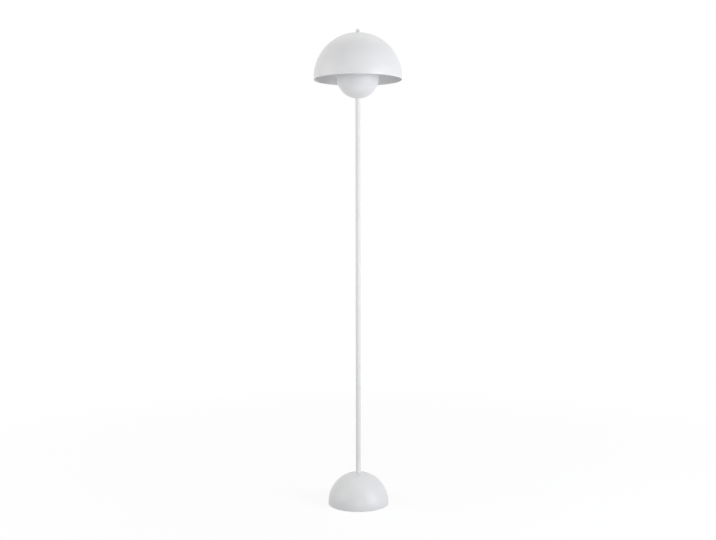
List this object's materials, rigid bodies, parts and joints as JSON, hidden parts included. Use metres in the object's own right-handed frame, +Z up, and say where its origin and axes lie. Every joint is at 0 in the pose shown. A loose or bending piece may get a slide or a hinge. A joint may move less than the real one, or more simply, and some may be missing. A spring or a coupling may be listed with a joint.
{
  "type": "mushroom floor lamp",
  "caption": "Slim white floor lamp: weighted dome base, straight pole, small upturned bowl round the bulb, and a hemispherical metal shade held by a knob on top.",
  "frame": {"origin": "on the floor under the middle of the base", "axes": "+Z up along the pole, -Y towards the viewer of the picture, +Y towards the cord hole at the back of the base"},
  "size_m": [0.23, 0.23, 1.2501],
  "materials": {
    "white_lacquer": "satin white powder coat",
    "felt": "pressed felt",
    "iron": "as cast, blackened",
    "rubber_white": "moulded, matt",
    "zinc_steel": "bright zinc plate",
    "brass": "rolled, bright",
    "nylon": "natural nylon",
    "holder_plastic": "white thermoplastic",
    "ceramic": "unglazed steatite",
    "lead_brown": "brown PVC insulation",
    "lead_blue": "blue PVC insulation",
    "opal": "opal diffuser",
    "collar_white": "moulded, glossy",
    "black_glass": "black vitrite",
    "board": "white solder mask",
    "phosphor": "phosphor coat"
  },
  "bodies": {
    "stand": {"base_pad": "felt", "base_shell": "white_lacquer", "cord_grommet": "rubber_white", "base_weight": "iron", "cord_clamp": "nylon", "cord_clamp_screws": "zinc_steel", "terminal_block": "nylon", "terminal_block_screw": "zinc_steel", "base_washer": "zinc_steel", "base_lock_washer": "zinc_steel", "base_nut": "zinc_steel", "base_nipple": "zinc_steel", "pole_lower": "white_lacquer", "coupler_nipple": "zinc_steel", "pole_upper": "white_lacquer", "pole_inserts": "zinc_steel", "top_nipple": "zinc_steel", "lower_bowl": "white_lacquer", "bowl_washer": "zinc_steel", "bowl_nut": "zinc_steel", "harp": "zinc_steel", "harp_stud": "zinc_steel", "harp_nut": "zinc_steel", "lampholder_cap": "holder_plastic", "lampholder_shell": "holder_plastic", "lampholder_core": "ceramic", "lampholder_terminal_screws": "brass", "lampholder_screw_shell": "brass", "lampholder_contact": "brass", "lead_brown": "lead_brown", "lead_blue": "lead_blue"},
    "shade_carrier": {"shade_seat": "nylon"},
    "shade": {"upper_shade": "white_lacquer"},
    "finial_carrier": {"finial_washer": "nylon"},
    "finial_knob": {"finial": "white_lacquer"},
    "bulb_carrier": {"bulb_contact": "brass"},
    "bulb": {"bulb_insulator": "black_glass", "bulb_screw_cap": "brass", "bulb_collar": "collar_white", "led_board": "board", "led_chips": "phosphor", "bulb_globe": "opal"}
  },
  "joints": [
    {"name": "shade_lift", "type": "slide", "parent": "stand", "child": "shade_carrier", "axis": [0, 0, 1], "range_m": [0, 0.135]},
    {"name": "shade_swivel", "type": "hinge", "parent": "shade_carrier", "child": "shade", "pos_m": [0, 0, 1.2369], "axis": [0, 0, 1], "continuous": true},
    {"name": "finial_rise", "type": "slide", "parent": "shade", "child": "finial_carrier", "axis": [0, 0, 1], "range_m": [0, 0.0084]},
    {"name": "finial_turn", "type": "hinge", "parent": "finial_carrier", "child": "finial_knob", "pos_m": [0, 0, 1.2389], "axis": [0, 0, 1], "range_deg": [0, 3782]},
    {"name": "bulb_rise", "type": "slide", "parent": "stand", "child": "bulb_carrier", "axis": [0, 0, 1], "range_m": [0, 0.01128]},
    {"name": "bulb_turn", "type": "hinge", "parent": "bulb_carrier", "child": "bulb", "pos_m": [0, 0, 1.1081], "axis": [0, 0, 1], "range_deg": [0, 1441]}
  ],
  "couplings": [
    {"joint": "finial_turn", "follows": "finial_rise", "rad_per_m": 7854},
    {"joint": "bulb_turn", "follows": "bulb_rise", "rad_per_m": 2228.1}
  ]
}
